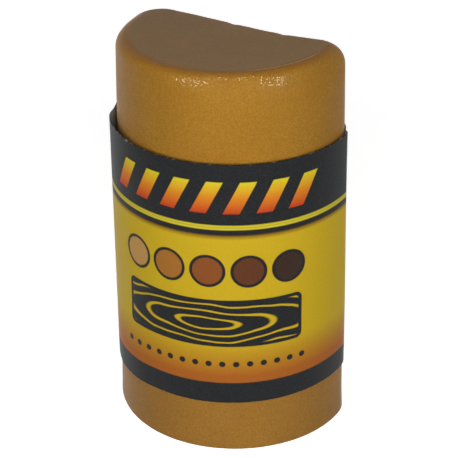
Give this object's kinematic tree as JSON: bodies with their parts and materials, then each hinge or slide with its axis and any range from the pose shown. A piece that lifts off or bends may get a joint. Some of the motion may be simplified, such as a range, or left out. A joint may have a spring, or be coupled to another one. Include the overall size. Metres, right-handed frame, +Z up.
{
  "type": "furniture repair wax stick",
  "caption": "Half-round cast wax stick for filling scratches in furniture, standing on its wide end, in a loose printed paper band that slides up off the narrow end.",
  "frame": {"origin": "bottom centre of the whole part, on the poured face that it stands on", "axes": "+Z up towards the narrow rounded end, the half-round front faces -Y, the lap of the band is on the +Y side, +X to the right seen from the front"},
  "size_m": [0.0324, 0.0216, 0.0536],
  "materials": {
    "wax": "soft satin cast wax, golden brown",
    "printed_paper": "coated paper printed in black, yellow and orange",
    "glue": "dried paper glue"
  },
  "bodies": {
    "stick": {"wax_stick": "wax"},
    "band": {"paper_band": "printed_paper", "seam_glue": "glue"}
  },
  "joints": [
    {"name": "band_slide", "type": "slide", "parent": "stick", "child": "band", "axis": [0, 0, 1], "range_m": [0, 0.048]}
  ]
}
